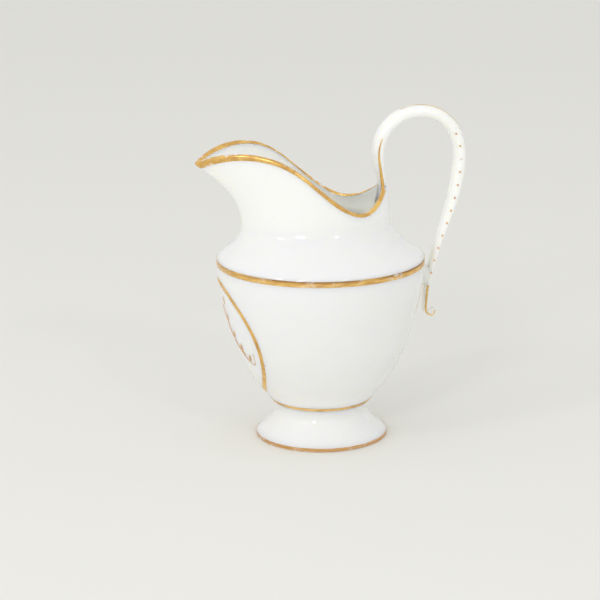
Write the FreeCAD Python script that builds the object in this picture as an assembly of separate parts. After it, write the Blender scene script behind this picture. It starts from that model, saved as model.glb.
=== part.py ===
import math
import os

import FreeCAD
import Part

# A footed porcelain cream jug with a raised spout and a looped strap handle.
# Frame: millimetres, +Z up, origin at the centre of the foot on the table.
# The spout points along -X and the handle stands at +X; Y = 0 is the mirror plane.

Vec = FreeCAD.Vector
UP = Vec(0, 0, 1)
SIDE = Vec(0, 1, 0)

# ---- driving dimensions (mm) ----
SHOULDER_R = 50.0      # widest radius, at the gilt shoulder band
SEAM_Z = 87.5          # the neck is luted to the bowl here
SHOULDER_TOP = 89.2    # below this the neck is a plain upright ring
WAIST_Z = 18.0         # the bowl is luted to the foot here
WAIST_R = 24.0
FOOT_R = 31.8
FOOT_EDGE = 1.9        # height of the foot's upright edge
FOOT_SOFTENING = 0.25  # bevel where the foot's edge meets the table
WALL = 3.0             # wall of the bowl and the neck
RIM_WALL = 2.3         # thinner wall at the rim
THROAT_Z = 107.0       # narrowest height of the neck

# plan of the neck: (reach to the spout, reach to the handle, half width, pointedness at each end)
THROAT_PLAN = (38.2, 34.4, 29.0, 0.25, 0.2)
RIM_PLAN = (59.4, 32.0, 29.5, 0.7, 0.45)
# rows of the shoulder, from the seam up to the throat: (height, spout reach, handle reach, half width)
SHOULDER_ROWS = (
    (SEAM_Z, SHOULDER_R, SHOULDER_R, SHOULDER_R),
    (88.3, SHOULDER_R, SHOULDER_R, SHOULDER_R),
    (SHOULDER_TOP, 49.9, 49.9, 49.9),
    (91.2, 48.7, 48.5, 48.6),
    (94.2, 45.0, 43.5, 43.6),
    (98.2, 41.1, 38.7, 36.5),
    (102.4, 39.0, 36.0, 31.2),
)
NECK_FRACTIONS = (0.25, 0.5, 0.75, 1.0)
SPOUT_FLARE = 2.0      # how late the spout leans out between the throat and the rim
LEAN_ALLOWANCE = 1.03  # a wall that curves is this much longer than a straight one
THINNING_ROW = 8       # row of the neck's grid from which the wall thins towards the rim
RIM_ROUNDING = (60.0, 120.0)  # degrees, from outwards to upwards, of the points over the rounded rim
NECK_STATIONS = 60

# side view of the rim's crest, from the lip back to the handle: (x, z)
RIM_CREST = (
    (-59.4, 137.3), (-52.5, 141.0), (-38.0, 143.6), (-22.0, 139.9), (-7.0, 128.9),
    (8.0, 117.4), (16.5, 114.6), (23.0, 116.0), (28.0, 119.6), (32.0, 124.5),
)

# outline of the bowl and the foot: (radius, height)
BOWL_OUTSIDE = (
    (WAIST_R, WAIST_Z), (28.6, 24.0), (33.4, 30.0), (37.5, 37.0), (41.2, 45.0), (44.5, 55.0),
    (47.4, 66.0), (49.3, 76.0), (SHOULDER_R, 85.0), (SHOULDER_R, SEAM_Z),
)
BOWL_INSIDE = (
    (47.0, SEAM_Z), (47.0, 84.5), (46.3, 76.0), (44.4, 66.0), (41.5, 55.0), (38.2, 45.0),
    (34.3, 37.0), (29.6, 30.6), (22.0, 25.6), (12.0, 23.2), (0.0, 22.6),
)
FOOT_OUTSIDE = (
    (WAIST_R, WAIST_Z), (21.9, 15.4), (21.6, 13.0), (23.4, 9.6), (26.6, 6.2), (30.3, 3.1),
    (FOOT_R, FOOT_EDGE),
)
FOOT_INSIDE = ((28.4, 0.0), (24.0, 3.4), (18.0, 8.2), (10.0, 11.6), (0.0, 12.4))

# centre line of the strap handle, from inside the rear wall, over the loop and down to the curl:
# (x, z, width, thickness, share of the rear wall's curve)
HANDLE_LINE = (
    (32.15, 110.5, 27.0, 1.9, 1.0),
    (31.9, 113.5, 24.5, 2.0, 1.0),
    (31.4, 116.5, 17.5, 2.4, 0.95),
    (30.9, 119.5, 12.8, 2.9, 0.8),
    (30.2, 123.5, 10.7, 3.5, 0.45),
    (29.4, 128.0, 10.4, 4.2, 0.15),
    (28.6, 133.0, 10.6, 5.0, 0.0),
    (28.2, 139.0, 10.7, 5.7, 0.0),
    (31.2, 148.6, 10.7, 5.8, 0.0),
    (38.6, 155.6, 10.7, 5.8, 0.0),
    (48.4, 158.0, 10.7, 5.8, 0.0),
    (58.2, 155.4, 10.7, 5.8, 0.0),
    (65.4, 148.0, 10.7, 5.9, 0.0),
    (68.3, 138.0, 10.7, 5.9, 0.0),
    (67.8, 127.5, 10.7, 5.8, 0.0),
    (65.8, 117.0, 10.6, 5.3, 0.0),
    (62.2, 105.0, 10.2, 4.2, 0.0),
    (58.6, 94.5, 9.6, 3.2, 0.0),
    (55.9, 85.5, 8.8, 2.7, 0.0),
    (53.9, 77.0, 8.0, 2.5, 0.0),
    (52.7, 69.5, 7.6, 2.4, 0.0),
    (52.1, 62.5, 7.6, 2.3, 0.0),
    (52.9, 58.4, 7.6, 2.2, 0.0),
    (54.7, 57.6, 7.4, 2.0, 0.0),
    (55.9, 59.6, 6.8, 1.6, 0.0),
)
HANDLE_ROWS = 72
HANDLE_SIDES = 16
STRAP_SQUARENESS = 0.86   # 1 gives an elliptical strap, less gives a squarer one
STRAP_EDGES = (0.0, 180.0)  # degrees round the strap's section of its +Y and -Y edges
STRAP_CREST = 90.0          # and of the middle of its outer face
PAD_Z = 77.0              # the slip pad that joins the strap to the bowl
# rows of the pad, outwards: (x, half width, half height)
PAD_ROWS = ((47.2, 3.8, 6.8), (49.6, 3.0, 5.4), (51.6, 2.8, 5.0), (53.3, 2.9, 5.2))

# ---- gilding (mm) ----
GILT_UP = 0.16         # gold stands this proud of the glaze
GILT_DOWN = 0.10       # and is sunk this far into it
SHOULDER_BAND = (86.3, 89.0)
WAIST_LINE = (18.2, 19.6)
FOOT_LINE = (0.25, 1.85)
RIM_GILT_SPOUT = 1.9   # gold below the crest, outside, at the spout
RIM_GILT_REAR = 0.5    # and next to the handle
RIM_GILT_IN = 1.3      # gold below the crest, inside, at the spout; none next to the handle
RIM_GILT_OVER = (100.0, 180.0)  # degrees of the rounded rim that it covers, next to the handle and at the spout
RIM_GILT_LEAST = 0.2   # the gold's inner edge is never narrower than this
RIM_GILT_END_X = 30.7  # where the rim's gold passes to the stem of the handle
MEDALLION_Z = 51.8
MEDALLION_HALF_HEIGHT = 27.5
MEDALLION_HALF_ANGLE = math.radians(36.0)
MEDALLION_EGG = 0.12     # how much fuller the oval is below its middle than above
MEDALLION_LINE = 2.8
CREST_LINE = (0.29, 0.97, 1.1)       # on the strap's outer face: start and end as shares of its length, width
STEM_LINE = (0.035, 0.204, 2.3, 0.4)  # up the strap's edges from the rim: start, end, width at each
STEM_LINE_ANGLE = 9.0  # degrees round the strap's section, from its edge towards its outer face
CURL_LINE = (0.895, 1.0, 1.5)        # along the edges of the curl
CURL_LINE_ANGLE = -24.0  # round the strap's section, from its edge towards its inner face
GILT_LINE_ROWS = 24
MEDALLION_ROWS = 40
DOT_R = 0.52
DOT_ANGLE = -6.0       # place of the dots round the strap's section, from its edges towards its outer face
DOT_START = 0.457
DOT_SPACING = 6.45
DOT_COUNT = 12
# a plain leaf spray inside the medallion, as (angle from under the spout in degrees, height)
SPRAY_STEM = (
    (-29.0, 48.0), (-27.5, 41.5), (-22.0, 42.5), (-15.0, 46.5),
    (-9.0, 51.0), (-5.0, 57.0), (-3.0, 63.0), (-5.0, 68.0),
)
SPRAY_STEM_WIDTH = 0.7
SPRAY_TAPER = 0.4      # share of the stem's width that is lost towards its tip
SPRAY_LEAVES = 4       # pairs of leaves
SPRAY_FIRST_LEAF = 1.6
LEAF_LENGTHS = (4.5, 8.5)  # towards -Y and towards +Y
LEAF_WIDTH = 1.9
LEAF_POINT = 0.25      # width at a leaf's ends
LEAF_FULLNESS = 1.3    # 1 gives a leaf with full shoulders, more gives a slimmer one
LEAF_LEAN = 42.0       # degrees between a leaf and upright
LEAF_BOW = 0.35        # share of the lean that a leaf loses along its length
LEAF_GAP = 0.9         # degrees between the stem's middle and a leaf's root
TIP_LEAF = (-5.6, 68.9, -14.0)  # root angle, root height and lean of the leaf at the stem's tip
SPRAY_ROWS = 8
SEARCH_STEPS = 40


# ---- geometry helpers ----
def curve_through(points):
    """Smooth curve through (x, z) pairs, lying in the XZ plane."""
    curve = Part.BSplineCurve()
    curve.interpolate([Vec(x, 0, z) for x, z in points])
    return curve


def point_where(curve, axis, value):
    """Point of a curve where one coordinate, which grows along it, has a value."""
    low, high = curve.FirstParameter, curve.LastParameter
    for _ in range(SEARCH_STEPS):
        middle = (low + high) / 2
        if curve.value(middle)[axis] < value:
            low = middle
        else:
            high = middle
    return curve.value(low)


def line(a, b):
    return Part.LineSegment(Vec(a[0], 0, a[1]), Vec(b[0], 0, b[1])).toShape()


def sharpened(points, closed):
    """Control points of a cubic spline that passes close to the given points."""
    out = []
    count = len(points)
    for i, point in enumerate(points):
        if closed or 0 < i < count - 1:
            out.append(point * (4 / 3) - (points[i - 1] + points[(i + 1) % count]) * (1 / 6))
        else:
            out.append(point)
    return out


def smooth_face(rows, closed):
    """Cubic face through rows of points, each a closed loop; closed joins the last row to the first."""
    loops = [sharpened(row, True) for row in rows]
    poles = [sharpened(list(column), closed) for column in zip(*loops)]
    around, along = len(poles), len(rows)
    if closed:
        knots, mults = list(range(along + 1)), [1] * (along + 1)
    else:
        knots, mults = list(range(along - 2)), [4] + [1] * (along - 4) + [4]
    surface = Part.BSplineSurface()
    surface.buildFromPolesMultsKnots(
        poles, [1] * (around + 1), mults, list(range(around + 1)), knots, True, closed, 3, 3
    )
    return surface.toShape()


def open_ends(face):
    """The face's two open ends as wires, the one of the first row first."""
    low, high = face.ParameterRange[2:]
    surface = face.Surface
    ends = []
    loops = [edge for edge in face.Edges if edge.isClosed()]
    for value in (low, high):
        on_end = Part.Vertex(surface.value(0, value))
        nearest = min(loops, key=lambda edge: edge.distToShape(on_end)[0])
        ends.append(Part.Wire(nearest))
    return ends


def closed_solid(faces):
    """Solid bounded by the faces."""
    shell = Part.Shell(faces)
    if len(faces) > 1:
        shell.sewShape()
    solid = Part.Solid(shell)
    if solid.Volume < 0:
        solid.reverse()
    return solid


def flattened(row):
    """The row's points moved onto their mean plane, so that a flat cap can close it."""
    centre = sum(row, Vec(0, 0, 0)) * (1 / len(row))
    normal = Vec(0, 0, 0)
    for a, b in zip(row, row[1:] + row[:1]):
        normal += (a - centre).cross(b - centre)
    normal.normalize()
    return [p - normal * (p - centre).dot(normal) for p in row]


def skin(rows, closed=False):
    """Solid through closed sections: a ring if closed, or else with a flat cap at each end."""
    if closed:
        return closed_solid([smooth_face(rows, True)])
    side = smooth_face([flattened(rows[0])] + rows[1:-1] + [flattened(rows[-1])], False)
    return closed_solid([side] + [Part.Face(wire) for wire in open_ends(side)])


def gilt_section(samples):
    """Thin closed section on a surface, from (point, normal) pairs across it, with rounded edges."""
    edges = (0, len(samples) - 1)
    over = [p if i in edges else p + n * GILT_UP for i, (p, n) in enumerate(samples)]
    under = [p - n * GILT_DOWN for p, n in samples]
    return over + under[::-1]


def turned(edges):
    """Solid of revolution about Z of a closed outline in the XZ plane."""
    return Part.Face(Part.Wire(edges)).revolve(Vec(0, 0, 0), UP, 360)


def gilt_ring(outline, span):
    """Thin gold ring that follows a turned outline between two heights."""
    heights = (span[0], (span[0] + span[1]) / 2, span[1])
    radii = [point_where(outline, 2, z).x for z in heights]
    inner = [(r - GILT_DOWN, z) for r, z in zip(radii, heights)]
    outer = [(r + GILT_UP, z) for r, z in zip(radii, heights)]
    return turned([
        curve_through(inner).toShape(), line(inner[-1], outer[-1]),
        curve_through(outer).toShape(), line(outer[0], inner[0]),
    ])


# ---- bowl and foot ----
BOWL_CURVE = curve_through(BOWL_OUTSIDE)
CREST_CURVE = curve_through(RIM_CREST)


def bowl():
    """Urn-shaped bowl, open at the top, from the waist to the shoulder."""
    return turned([
        BOWL_CURVE.toShape(), line(BOWL_OUTSIDE[-1], BOWL_INSIDE[0]),
        curve_through(BOWL_INSIDE).toShape(), line(BOWL_INSIDE[-1], (0, WAIST_Z)),
        line((0, WAIST_Z), BOWL_OUTSIDE[0]),
    ])


def foot():
    """Spreading foot, hollow beneath, with an upright edge and a ring that it stands on."""
    edge_low = (FOOT_R, FOOT_SOFTENING)
    ring_out = (FOOT_R - FOOT_SOFTENING, 0)
    return turned([
        curve_through(FOOT_OUTSIDE).toShape(), line(FOOT_OUTSIDE[-1], edge_low), line(edge_low, ring_out),
        line(ring_out, FOOT_INSIDE[0]), curve_through(FOOT_INSIDE).toShape(),
        line(FOOT_INSIDE[-1], (0, WAIST_Z)), line((0, WAIST_Z), FOOT_OUTSIDE[0]),
    ])


# ---- neck and spout ----
def plan_point(turn, reach_front, reach_back, half, sharp_front, sharp_back):
    """(x, y) on the neck's plan; turn 0 is at the handle, pi at the spout."""
    c, s = math.cos(turn), math.sin(turn)
    reach, sharp = (reach_back, sharp_back) if c > 0 else (reach_front, sharp_front)
    return reach * c, half * ((1 - sharp) * s + sharp * s * abs(s))


def mixed(a, b, share):
    return [p + (q - p) * share for p, q in zip(a, b)]


def towards_spout(turn):
    """0 at the handle, rising smoothly to 1 at the lip."""
    return (1 - math.cos(turn)) / 2


def rim_lap(turn):
    """How far the rim's gold reaches down the outside at one station."""
    return RIM_GILT_REAR + (RIM_GILT_SPOUT - RIM_GILT_REAR) * towards_spout(turn)


def outer_column(turn):
    """Points up the neck's outside at one station, from the seam to the rim."""
    column = []
    for height, front, back, half in SHOULDER_ROWS:
        sharpness = max(0.0, (height - SHOULDER_TOP) / (THROAT_Z - SHOULDER_TOP))
        x, y = plan_point(turn, front, back, half, THROAT_PLAN[3] * sharpness, THROAT_PLAN[4] * sharpness)
        column.append(Vec(x, y, height))
    x, y = plan_point(turn, *THROAT_PLAN)
    throat = Vec(x, y, THROAT_Z)
    x, y = plan_point(turn, *RIM_PLAN)
    rim = Vec(x, y, point_where(CREST_CURVE, 0, x).z - RIM_WALL / 2)
    column.append(throat)
    gilt_from = 1 - rim_lap(turn) / (throat.distanceToPoint(rim) * LEAN_ALLOWANCE)
    for fraction in [f * gilt_from for f in NECK_FRACTIONS] + [1.0]:
        x, y = plan_point(turn, *mixed(THROAT_PLAN, RIM_PLAN, fraction ** SPOUT_FLARE))
        column.append(Vec(x, y, THROAT_Z + (rim.z - THROAT_Z) * fraction))
    return column


def neck_grid():
    """Columns of (point, normal) around the neck's outside."""
    columns = [outer_column(2 * math.pi * i / NECK_STATIONS) for i in range(NECK_STATIONS)]
    grid = []
    for i, column in enumerate(columns):
        ahead, behind = columns[(i + 1) % NECK_STATIONS], columns[i - 1]
        pairs = []
        for j, point in enumerate(column):
            above, below = column[min(j + 1, len(column) - 1)], column[max(j - 1, 0)]
            normal = (ahead[j] - behind[j]).cross(above - below).normalize()
            pairs.append((point, normal))
        grid.append(pairs)
    return grid


def rim_rise(pairs):
    """Upward direction in the wall at the rim."""
    (below, _), (edge, out) = pairs[-2:]
    rise = (edge - below).normalize()
    return (rise - out * rise.dot(out)).normalize()


def wall_column(pairs):
    """(point, normal) pairs up the outside, over the rounded rim and down the inside."""
    rows = len(pairs)
    edge, out = pairs[-1]
    rise = rim_rise(pairs)
    centre = edge - out * (RIM_WALL / 2)
    column = list(pairs)
    for angle in RIM_ROUNDING:
        lean = out * math.cos(math.radians(angle)) + rise * math.sin(math.radians(angle))
        column.append((centre + lean * (RIM_WALL / 2), lean))
    for j in range(rows - 1, -1, -1):
        point, normal = pairs[j]
        rim_share = max(0.0, (j - THINNING_ROW) / (rows - 1 - THINNING_ROW))
        thickness = WALL + (RIM_WALL - WALL) * rim_share
        column.append((point - normal * thickness, normal * -1))
    return column


NECK_GRID = neck_grid()


def neck_and_spout():
    """Waisted neck that rises into the spout, one wall with a rounded rim, flat where it meets the bowl."""
    columns = [wall_column(pairs) for pairs in NECK_GRID]
    rows = [[point for point, _ in row] for row in zip(*columns)]
    wall = smooth_face(rows, False)
    outer_end, inner_end = open_ends(wall)
    return closed_solid([wall, Part.Face([outer_end, inner_end])])


def rim_gilding():
    """Gold over the rim, from one side of the handle's root, round the spout, to the other side."""
    sections = []
    for i, pairs in enumerate(NECK_GRID):
        (lap_edge, lap_out), (edge, out) = pairs[-2:]
        if edge.x > RIM_GILT_END_X:
            continue
        share = towards_spout(2 * math.pi * i / NECK_STATIONS)
        rise = rim_rise(pairs)
        centre = edge - out * (RIM_WALL / 2)
        samples = [(lap_edge, lap_out), (edge, out)]
        reach = RIM_GILT_OVER[0] + (RIM_GILT_OVER[1] - RIM_GILT_OVER[0]) * share
        for part in (1 / 3, 2 / 3, 1):
            lean = out * math.cos(math.radians(reach * part)) + rise * math.sin(math.radians(reach * part))
            samples.append((centre + lean * (RIM_WALL / 2), lean))
        last, inward = samples[-1]
        along = rise * math.cos(math.radians(reach)) - out * math.sin(math.radians(reach))
        samples.append((last + along * (RIM_GILT_IN * share + RIM_GILT_LEAST), inward))
        sections.append(gilt_section(samples))
    return skin(sections)


# ---- handle ----
def handle_curves():
    """The strap's centre line, and curves of (place, width, thickness) and (place, wall share) along it."""
    centres = [Vec(x, 0, z) for x, z, *_ in HANDLE_LINE]
    stops = [0.0]
    for a, b in zip(centres, centres[1:]):
        stops.append(stops[-1] + a.distanceToPoint(b))
    sizes = [Vec(stop, row[2], row[3]) for stop, row in zip(stops, HANDLE_LINE)]
    shares = [Vec(stop, row[4], 0) for stop, row in zip(stops, HANDLE_LINE)]
    curves = []
    for points in (centres, sizes, shares):
        curve = Part.BSplineCurve()
        curve.interpolate(Points=points, Parameters=stops)
        curves.append(curve)
    return curves


HANDLE_PATH, HANDLE_SIZE, WALL_SHARE = handle_curves()
HANDLE_LENGTH = HANDLE_PATH.LastParameter


def rear_wall_drop(y):
    """How far the neck's rear wall has curved forward at a distance y from the mirror plane."""
    reach, half, sharp = RIM_PLAN[1], RIM_PLAN[2], RIM_PLAN[4]
    lean = (math.sqrt((1 - sharp) ** 2 + 4 * sharp * abs(y) / half) - (1 - sharp)) / (2 * sharp)
    return reach * (1 - math.sqrt(1 - lean * lean))


def strap_point(along, angle):
    """(point, normal) on the strap; angle 90 is the middle of its outer face and 0 its +Y edge."""
    _, width, thickness = HANDLE_SIZE.value(along)
    wall_share = WALL_SHARE.value(along).y
    tangent = HANDLE_PATH.tangent(along)[0]
    outward = Vec(-tangent.z, 0, tangent.x)
    c, s = math.cos(math.radians(angle)), math.sin(math.radians(angle))
    y = math.copysign(abs(c) ** STRAP_SQUARENESS, c) * width / 2
    rise = math.copysign(abs(s) ** STRAP_SQUARENESS, s) * thickness / 2
    point = HANDLE_PATH.value(along) + SIDE * y + outward * (rise + wall_share * rear_wall_drop(y))
    normal = (SIDE * (c * thickness) + outward * (s * width)).normalize()
    return point, normal


def handle():
    """Strap handle: root on the rear rim, high loop, long leg luted to the bowl, outward curl at the end."""
    rows = []
    for i in range(HANDLE_ROWS + 1):
        along = HANDLE_LENGTH * i / HANDLE_ROWS
        rows.append([strap_point(along, 360 * k / HANDLE_SIDES)[0] for k in range(HANDLE_SIDES)])
    return skin(rows)


def handle_pad():
    """Pad of slip that joins the strap's leg to the side of the bowl."""
    rows = []
    for x, half_width, half_height in PAD_ROWS:
        turns = [2 * math.pi * k / HANDLE_SIDES for k in range(HANDLE_SIDES)]
        rows.append([Vec(x, half_width * math.cos(t), PAD_Z + half_height * math.sin(t)) for t in turns])
    return skin(rows)


def luted_handle(bowl_solid, neck_solid):
    """The handle with its pad, cut back to where it meets the neck and the bowl."""
    strap = handle().cut(neck_solid)
    pad = handle_pad().cut(bowl_solid)
    return strap.fuse(pad).removeSplitter()


def half_angle_for(along, middle, half_width):
    """Angle round the strap's section that spans half a line's width."""
    centre = strap_point(along, middle)[0]
    low, high = 0.0, 80.0
    for _ in range(SEARCH_STEPS):
        angle = (low + high) / 2
        if strap_point(along, middle + angle)[0].distanceToPoint(centre) < half_width:
            low = angle
        else:
            high = angle
    return low


def strap_gilding(start, end, middle_angle, width_at):
    """Gold line along the strap. width_at gives its width at a share of its length from 0 to 1."""
    sections = []
    for i in range(GILT_LINE_ROWS + 1):
        share = i / GILT_LINE_ROWS
        along = start + (end - start) * share
        half = width_at(share) / 2
        reach = half_angle_for(along, middle_angle, half)
        angles = [middle_angle + reach * k / 2 for k in (-2, -1, 0, 1, 2)]
        sections.append(gilt_section([strap_point(along, a) for a in angles]))
    return skin(sections)


def even_line(start, end, width, angle):
    """Gold line of one width along part of the strap."""
    return strap_gilding(HANDLE_LENGTH * start, HANDLE_LENGTH * end, angle, lambda share: width)


def tapering_line(start, end, low_width, high_width, angle):
    """Gold line along the strap that narrows to a point."""
    def width_at(share):
        return low_width + (high_width - low_width) * share
    return strap_gilding(HANDLE_LENGTH * start, HANDLE_LENGTH * end, angle, width_at)


def handle_dots():
    """Two rows of small gilt dots down the outer face of the strap's leg."""
    dots = []
    for angle in (DOT_ANGLE, STRAP_EDGES[1] - DOT_ANGLE):
        for i in range(DOT_COUNT):
            point, normal = strap_point(HANDLE_LENGTH * DOT_START + DOT_SPACING * i, angle)
            dots.append(Part.makeCylinder(DOT_R, GILT_UP + GILT_DOWN, point - normal * GILT_DOWN, normal))
    return Part.Compound(dots)


# ---- gilding on the bowl ----
def bowl_point(angle, z):
    """(point, normal) on the bowl's outside; angle 0 is under the spout."""
    radius = point_where(BOWL_CURVE, 2, z).x
    slope = (point_where(BOWL_CURVE, 2, z + 0.2).x - point_where(BOWL_CURVE, 2, z - 0.2).x) / 0.4
    out = Vec(-math.cos(angle), math.sin(angle), 0)
    return out * radius + UP * z, (out - UP * slope).normalize()


def medallion_border():
    """Oval gold line round the panel under the spout."""
    rows = []
    for i in range(MEDALLION_ROWS):
        turn = 2 * math.pi * i / MEDALLION_ROWS
        samples = []
        for across in (-0.5, -0.25, 0.0, 0.25, 0.5):
            half_height = MEDALLION_HALF_HEIGHT + across * MEDALLION_LINE
            half_angle = MEDALLION_HALF_ANGLE + across * MEDALLION_LINE / SHOULDER_R
            angle = half_angle * math.cos(turn) * (1 - MEDALLION_EGG * math.sin(turn))
            samples.append(bowl_point(angle, MEDALLION_Z + half_height * math.sin(turn)))
        rows.append(gilt_section(samples))
    return skin(rows, closed=True)


def spray_line(stops, width_at):
    """Gold line on the bowl through (angle, height) stops given in degrees and mm."""
    curve = curve_through(stops)
    first, last = curve.FirstParameter, curve.LastParameter
    sections = []
    for i in range(SPRAY_ROWS + 1):
        share = i / SPRAY_ROWS
        here = curve.value(first + (last - first) * share)
        tangent = curve.tangent(first + (last - first) * share)[0]
        arc_scale = math.degrees(1 / point_where(BOWL_CURVE, 2, here.z).x)
        run = Vec(tangent.x / arc_scale, 0, tangent.z).normalize()
        samples = []
        for across in (-0.5, 0.0, 0.5):
            shift = width_at(share) * across
            angle = here.x - run.z * shift * arc_scale
            samples.append(bowl_point(math.radians(angle), here.z + run.x * shift))
        sections.append(gilt_section(samples))
    return skin(sections)


def leaf_stops(root, heading, length):
    """Slightly bowed midline of a leaf from (angle, height), heading in degrees from upright."""
    arc_scale = math.degrees(1 / point_where(BOWL_CURVE, 2, root[1]).x)
    stops = [root]
    for step in (0.5, 1.0):
        bow = math.radians(heading * (1 - LEAF_BOW * step))
        reach = length * step
        stops.append((root[0] + math.sin(bow) * reach * arc_scale, root[1] + math.cos(bow) * reach))
    return stops


def leaf_width(share):
    """Width of a leaf at a share of its length: pointed at both ends."""
    return LEAF_POINT + LEAF_WIDTH * math.sin(math.pi * share) ** LEAF_FULLNESS


def stem_width(share):
    return SPRAY_STEM_WIDTH * (1 - SPRAY_TAPER * share)


def medallion_spray():
    """Small leaf spray in gold: one curved stem with pairs of leaves and one at its tip."""
    stem = curve_through(SPRAY_STEM)
    first, last = stem.FirstParameter, stem.LastParameter
    solids = [spray_line(SPRAY_STEM, stem_width)]
    for i in range(SPRAY_LEAVES):
        share = (i + SPRAY_FIRST_LEAF) / (SPRAY_LEAVES + SPRAY_FIRST_LEAF)
        here = stem.value(first + (last - first) * share)
        for side, length in zip((-1, 1), LEAF_LENGTHS):
            stops = leaf_stops((here.x + side * LEAF_GAP, here.z), side * LEAF_LEAN, length)
            solids.append(spray_line(stops, leaf_width))
    tip_angle, tip_height, tip_lean = TIP_LEAF
    solids.append(spray_line(leaf_stops((tip_angle, tip_height), tip_lean, LEAF_LENGTHS[0]), leaf_width))
    return Part.Compound(solids)


def main():
    os.makedirs("parts", exist_ok=True)
    bowl_solid = bowl()
    neck_solid = neck_and_spout()
    foot_curve = curve_through(FOOT_OUTSIDE[::-1])
    upright = curve_through(((SHOULDER_R, SEAM_Z - 4), (SHOULDER_R, SEAM_Z), (SHOULDER_R, SEAM_Z + 4)))
    stem_angles = (STEM_LINE_ANGLE, STRAP_EDGES[1] - STEM_LINE_ANGLE)
    curl_angles = (CURL_LINE_ANGLE, STRAP_EDGES[1] - CURL_LINE_ANGLE)
    nodes = {
        "bowl": bowl_solid,
        "neck_and_spout": neck_solid,
        "foot": foot(),
        "handle": luted_handle(bowl_solid, neck_solid),
        "rim_gilding": rim_gilding(),
        "shoulder_band": gilt_ring(upright, SHOULDER_BAND),
        "waist_line": gilt_ring(BOWL_CURVE, WAIST_LINE),
        "foot_edge_line": gilt_ring(curve_through(((FOOT_R, -1), (FOOT_R, 1), (FOOT_R, 3))), FOOT_LINE),
        "medallion_border": medallion_border(),
        "medallion_spray": medallion_spray(),
        "handle_crest_line": even_line(*CREST_LINE, STRAP_CREST),
        "handle_stem_lines": Part.Compound([tapering_line(*STEM_LINE, angle) for angle in stem_angles]),
        "handle_curl_lines": Part.Compound([even_line(*CURL_LINE, angle) for angle in curl_angles]),
        "handle_dots": handle_dots(),
    }
    for name, shape in nodes.items():
        shape.exportStep("parts/" + name + ".step")
        print(name, shape.isValid(), len(shape.Solids), round(shape.Volume, 2), shape.BoundBox, flush=True)


main()
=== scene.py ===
import math

import bmesh
import bpy
from mathutils import Matrix, Vector

# A gilt porcelain cream jug on a pale floor in soft studio light.
# Metres, +Z up, origin at the centre of the foot; the spout points along -X.

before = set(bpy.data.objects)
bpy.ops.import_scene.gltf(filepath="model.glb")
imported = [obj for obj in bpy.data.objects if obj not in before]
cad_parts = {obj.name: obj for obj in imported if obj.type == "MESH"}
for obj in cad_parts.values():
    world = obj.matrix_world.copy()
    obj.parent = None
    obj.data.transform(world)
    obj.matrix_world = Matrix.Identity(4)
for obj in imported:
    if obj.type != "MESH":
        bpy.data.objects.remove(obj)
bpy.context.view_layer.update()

UP = Vector((0, 0, 1))

# ---- camera ----
CAMERA_PLACE = Vector((-0.1921, -0.9814, 0.3375))
CAMERA_SWING = math.radians(10.5)    # from +Y towards +X
CAMERA_PITCH = math.radians(15.13)   # downwards
CAMERA_ROLL = math.radians(-0.45)
LENS_MM = 128.2
SENSOR_MM = 36

# ---- light: (name, azimuth, elevation, distance, size, watts, colour) ----
LIGHTS = (
    ("softbox_left", -160, 45, 1.8, 1.3, 1.2, (1.0, 0.99, 0.975)),
    ("window_wide", -122, 24, 1.6, 0.27, 3.3, (1.0, 0.995, 0.985)),
    ("window_narrow", -151, 32, 1.6, 0.17, 1.7, (1.0, 0.995, 0.985)),
    ("window_far", -71, 32, 1.6, 0.15, 1.4, (1.0, 0.995, 0.985)),
)
LAMP_AIM = UP * 0.08                  # the lamps look at the middle of the jug
SKY = (0.99, 0.99, 0.97)
SKY_STRENGTH = 0.85
FLOOR_COLOR = (0.82, 0.815, 0.79)
FLOOR_ROUGHNESS = 0.7
FLOOR_HALF = 8.0

# ---- glaze ----
WHITE_COOL = (0.93, 0.942, 0.885)
WHITE_WARM = (0.945, 0.956, 0.91)
SPECK_TINT = (0.86, 0.83, 0.76)
GLAZE_IOR = 1.5
GLAZE_ROUGHNESS = (0.04, 0.11)
SCATTER_WEIGHT = 0.6
SCATTER_RADIUS = (0.0085, 0.0085, 0.0055)
DRIFT_SCALE = 22
SPECK_SCALE = 620
SPECK_START = (0.78, 0.82)            # noise above this becomes a speck
POLISH_SCALE = 90
WAVE_SCALE = 70
WAVE_STRENGTH = 0.10
WAVE_HEIGHT = 0.0006

# ---- gold ----
GOLD = (0.95, 0.62, 0.21)
GOLD_DEEP = (0.66, 0.37, 0.11)
GOLD_BROWN = (0.36, 0.17, 0.05)
GOLD_PAINTED = (0.74, 0.48, 0.25)
COPPER = (0.78, 0.48, 0.27)
TONE_SCALE = 160
TONE_START = (0.32, 0.62)             # noise over which the dark tone turns into the light one
BURNISH_SCALE = 240
GRAIN_SCALE = 900
GRAIN_STRENGTH = 0.35
GRAIN_HEIGHT = 0.00012
BROWN_SCALE = 26
BROWN_START = (0.38, 0.52)            # noise over which a brown patch sets in
BROWN_MOST = 0.9
BARE_TINT = (0.84, 0.76, 0.70)        # glaze under the gold, stained by it
BARE_ROUGHNESS = 0.25
SCRATCH_SCALE = 420
WORN_PLACE_SCALE = 75
WEAR_EDGE = 0.05                      # wear over which gold gives way to glaze
WEAR_MOST = 0.9
LOOKS_UP = (0.55, 0.95)               # Z of the normal over which the crest wears more
NOISE_MIDDLE = (0.3, 0.7)             # where most values of a noise lie
BAND_BROWN_HEIGHTS = (0.0876, 0.0887)          # heights over which the shoulder band goes from bright to brown
BAND_STREAK = (1, 1, 7)
EVEN = (1, 1, 1)


# ---- node helpers ----
def new_node(tree, kind, **values):
    """Node with the named inputs set; an underscore stands for a space."""
    node = tree.nodes.new(kind)
    for key, value in values.items():
        node.inputs[key.replace("_", " ")].default_value = value
    return node


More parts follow.
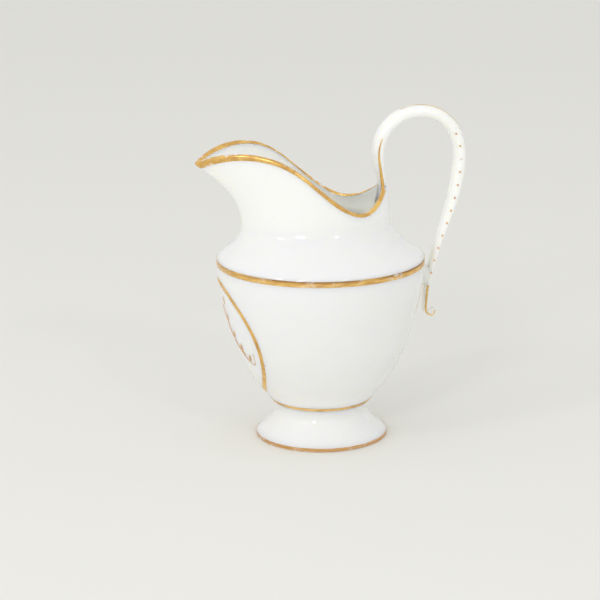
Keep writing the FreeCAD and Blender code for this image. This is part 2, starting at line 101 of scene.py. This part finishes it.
def noise(tree, scale, detail, stretch=(1, 1, 1)):
    """Noise over the object's own coordinates, as a value output; stretch scales each axis."""
    place = new_node(tree, "ShaderNodeTexCoord")
    mapping = new_node(tree, "ShaderNodeMapping", Scale=stretch)
    cloud = new_node(tree, "ShaderNodeTexNoise", Scale=scale, Detail=detail)
    tree.links.new(place.outputs["Object"], mapping.inputs["Vector"])
    tree.links.new(mapping.outputs["Vector"], cloud.inputs["Vector"])
    return cloud.outputs["Fac"]


def ramp(tree, source, stops):
    """Colour by value through (position, colour) stops."""
    node = new_node(tree, "ShaderNodeValToRGB")
    elements = node.color_ramp.elements
    while len(elements) < len(stops):
        elements.new(0.5)
    for element, (position, color) in zip(elements, stops):
        element.position = position
        element.color = (*color, 1)
    tree.links.new(source, node.inputs["Fac"])
    return node.outputs["Color"]


def ranged(tree, source, from_low, from_high, to_low, to_high):
    """Value moved from one range to another, held at its ends."""
    node = new_node(
        tree, "ShaderNodeMapRange",
        From_Min=from_low, From_Max=from_high, To_Min=to_low, To_Max=to_high,
    )
    tree.links.new(source, node.inputs["Value"])
    return node.outputs["Result"]


def math_node(tree, operation, *sources):
    node = tree.nodes.new("ShaderNodeMath")
    node.operation = operation
    for socket, source in zip(node.inputs, sources):
        if isinstance(source, (int, float)):
            socket.default_value = source
        else:
            tree.links.new(source, socket)
    return node.outputs[0]


def bumped(tree, shader, height, strength, distance):
    """Relief from a height source, on one shader."""
    node = new_node(tree, "ShaderNodeBump", Strength=strength, Distance=distance)
    tree.links.new(height, node.inputs["Height"])
    tree.links.new(node.outputs["Normal"], shader.inputs["Normal"])


def new_material(name):
    material = bpy.data.materials.new(name)
    material.use_nodes = True
    tree = material.node_tree
    return material, tree, tree.nodes["Principled BSDF"]


def mixed_color(tree, factor, first, second, blend="MIX"):
    """Colour between two sources by a factor source; a plain tuple stands for one colour."""
    node = tree.nodes.new("ShaderNodeMix")
    node.data_type = "RGBA"
    node.blend_type = blend
    for socket, source in zip((node.inputs[0], node.inputs[6], node.inputs[7]), (factor, first, second)):
        if isinstance(source, tuple):
            socket.default_value = (*source, 1)
        elif isinstance(source, float):
            socket.default_value = source
        else:
            tree.links.new(source, socket)
    return node.outputs[2]


def axis_value(tree, kind, output):
    """Z of one of the vectors of a geometry or coordinate node."""
    source = tree.nodes.new(kind)
    split = tree.nodes.new("ShaderNodeSeparateXYZ")
    tree.links.new(source.outputs[output], split.inputs[0])
    return split.outputs["Z"]


# ---- materials ----
def porcelain():
    """Clear gloss glaze over hard white porcelain: faint colour drift, a few specks, slow waviness."""
    material, tree, shader = new_material("glazed_porcelain")
    shader.inputs["Subsurface Weight"].default_value = SCATTER_WEIGHT
    shader.inputs["Subsurface Radius"].default_value = SCATTER_RADIUS
    shader.inputs["Subsurface Scale"].default_value = 1.0
    shader.inputs["IOR"].default_value = GLAZE_IOR
    drift = ramp(tree, noise(tree, DRIFT_SCALE, 3), ((0.35, WHITE_COOL), (0.65, WHITE_WARM)))
    speck_stops = ((SPECK_START[0], (1, 1, 1)), (SPECK_START[1], SPECK_TINT))
    specks = ramp(tree, noise(tree, SPECK_SCALE, 1), speck_stops)
    tree.links.new(mixed_color(tree, 1.0, drift, specks, "MULTIPLY"), shader.inputs["Base Color"])
    polish = ranged(tree, noise(tree, POLISH_SCALE, 4), *NOISE_MIDDLE, *GLAZE_ROUGHNESS)
    tree.links.new(polish, shader.inputs["Roughness"])
    bumped(tree, shader, noise(tree, WAVE_SCALE, 2), WAVE_STRENGTH, WAVE_HEIGHT)
    return material


def gilding(name, light, dark, rough, worn_from, streak, crest_wear=0.0, brown=None):
    """Burnished gold, uneven in colour and gloss, rubbed through where the wear noise is high.

    streak stretches the noise, crest_wear makes faces that look up wear sooner, and brown is the
    (low, high) height over which the gold turns brown in patches.
    """
    material, tree, gold = new_material(name)
    gold.inputs["Metallic"].default_value = 1.0
    tones = ((TONE_START[0], dark), (TONE_START[1], light))
    color = ramp(tree, noise(tree, TONE_SCALE, 5, streak), tones)
    if brown:
        # brown patches that grow towards the top of the given heights
        rise = ranged(tree, axis_value(tree, "ShaderNodeTexCoord", "Object"), *brown, 0.0, 1.0)
        patch = ranged(tree, noise(tree, BROWN_SCALE, 2), *BROWN_START, 0.0, BROWN_MOST)
        color = mixed_color(tree, math_node(tree, "MULTIPLY", rise, patch), color, GOLD_BROWN)
    tree.links.new(color, gold.inputs["Base Color"])
    burnish = ranged(tree, noise(tree, BURNISH_SCALE, 3, streak), *NOISE_MIDDLE, *rough)
    tree.links.new(burnish, gold.inputs["Roughness"])
    bumped(tree, gold, noise(tree, GRAIN_SCALE, 3, streak), GRAIN_STRENGTH, GRAIN_HEIGHT)
    bare = tree.nodes.new("ShaderNodeBsdfPrincipled")
    bare.inputs["Base Color"].default_value = (*BARE_TINT, 1)
    bare.inputs["Roughness"].default_value = BARE_ROUGHNESS
    scratches = noise(tree, SCRATCH_SCALE, 4, streak)
    wear = math_node(tree, "MULTIPLY", scratches, noise(tree, WORN_PLACE_SCALE, 2))
    if crest_wear:
        facing = axis_value(tree, "ShaderNodeNewGeometry", "Normal")
        up_facing = ranged(tree, facing, *LOOKS_UP, 0.0, crest_wear)
        wear = math_node(tree, "ADD", wear, up_facing)
    rubbed = ranged(tree, wear, worn_from, worn_from + WEAR_EDGE, 0.0, WEAR_MOST)
    mix = tree.nodes.new("ShaderNodeMixShader")
    tree.links.new(rubbed, mix.inputs["Fac"])
    tree.links.new(gold.outputs["BSDF"], mix.inputs[1])
    tree.links.new(bare.outputs["BSDF"], mix.inputs[2])
    tree.links.new(mix.outputs["Shader"], tree.nodes["Material Output"].inputs["Surface"])
    return material


def plain(name, color, rough):
    material, tree, shader = new_material(name)
    shader.inputs["Base Color"].default_value = (*color, 1)
    shader.inputs["Roughness"].default_value = rough
    return material


FINISHES = {
    "porcelain": porcelain(),
    "rim": gilding("rim_gold", GOLD, GOLD_DEEP, (0.16, 0.36), 0.36, EVEN, crest_wear=0.11),
    "band": gilding("band_gold", GOLD, GOLD_DEEP, (0.2, 0.42), 0.33, BAND_STREAK, brown=BAND_BROWN_HEIGHTS),
    "line": gilding("line_gold", GOLD, GOLD_DEEP, (0.2, 0.42), 0.40, EVEN),
    "worn": gilding("worn_gold", GOLD_DEEP, COPPER, (0.3, 0.5), 0.30, BAND_STREAK),
    "painted": gilding("painted_gold", GOLD_PAINTED, COPPER, (0.35, 0.55), 0.28, EVEN),
}
NODE_FINISH = {
    "bowl": "porcelain", "neck_and_spout": "porcelain", "foot": "porcelain", "handle": "porcelain",
    "rim_gilding": "rim", "shoulder_band": "band", "waist_line": "line", "foot_edge_line": "worn",
    "medallion_border": "line", "medallion_spray": "painted", "handle_crest_line": "line",
    "handle_stem_lines": "line", "handle_curl_lines": "line", "handle_dots": "painted",
}
for name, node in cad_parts.items():
    node.data.materials.clear()
    node.data.materials.append(FINISHES[NODE_FINISH[name]])


# ---- floor, light and camera ----
def floor():
    mesh = bpy.data.meshes.new("floor")
    shape = bmesh.new()
    corners = [(-1, -1), (1, -1), (1, 1), (-1, 1)]
    shape.faces.new([shape.verts.new((x * FLOOR_HALF, y * FLOOR_HALF, 0)) for x, y in corners])
    shape.to_mesh(mesh)
    shape.free()
    mesh.materials.append(plain("floor_white", FLOOR_COLOR, FLOOR_ROUGHNESS))
    ground = bpy.data.objects.new("floor", mesh)
    bpy.context.scene.collection.objects.link(ground)


def light(name, azimuth, elevation, distance, size, watts, color):
    az, el = math.radians(azimuth), math.radians(elevation)
    towards = Vector((math.cos(az) * math.cos(el), math.sin(az) * math.cos(el), math.sin(el)))
    lamp = bpy.data.lights.new(name, "AREA")
    lamp.size = size
    lamp.energy = watts
    lamp.color = color
    lamp_object = bpy.data.objects.new(name, lamp)
    lamp_object.location = towards * distance + LAMP_AIM
    lamp_object.rotation_euler = (-towards).to_track_quat("-Z", "Y").to_euler()
    bpy.context.scene.collection.objects.link(lamp_object)


def camera():
    flat = Vector((math.sin(CAMERA_SWING), math.cos(CAMERA_SWING), 0))
    ahead = flat * math.cos(CAMERA_PITCH) - UP * math.sin(CAMERA_PITCH)
    level = ahead.cross(UP).normalized()
    upright = level.cross(ahead)
    right = level * math.cos(CAMERA_ROLL) + upright * math.sin(CAMERA_ROLL)
    top = upright * math.cos(CAMERA_ROLL) - level * math.sin(CAMERA_ROLL)
    data = bpy.data.cameras.new("camera")
    data.lens = LENS_MM
    data.sensor_width = SENSOR_MM
    view = bpy.data.objects.new("camera", data)
    bpy.context.scene.collection.objects.link(view)
    pose = Matrix((right, top, -ahead)).transposed().to_4x4()
    pose.translation = CAMERA_PLACE
    view.matrix_world = pose
    bpy.context.scene.camera = view


def sky():
    world = bpy.data.worlds.new("sky")
    world.use_nodes = True
    background = world.node_tree.nodes["Background"]
    background.inputs["Color"].default_value = (*SKY, 1)
    background.inputs["Strength"].default_value = SKY_STRENGTH
    bpy.context.scene.world = world


floor()
sky()
for row in LIGHTS:
    light(*row)
camera()
bpy.context.scene.view_settings.view_transform = "Standard"
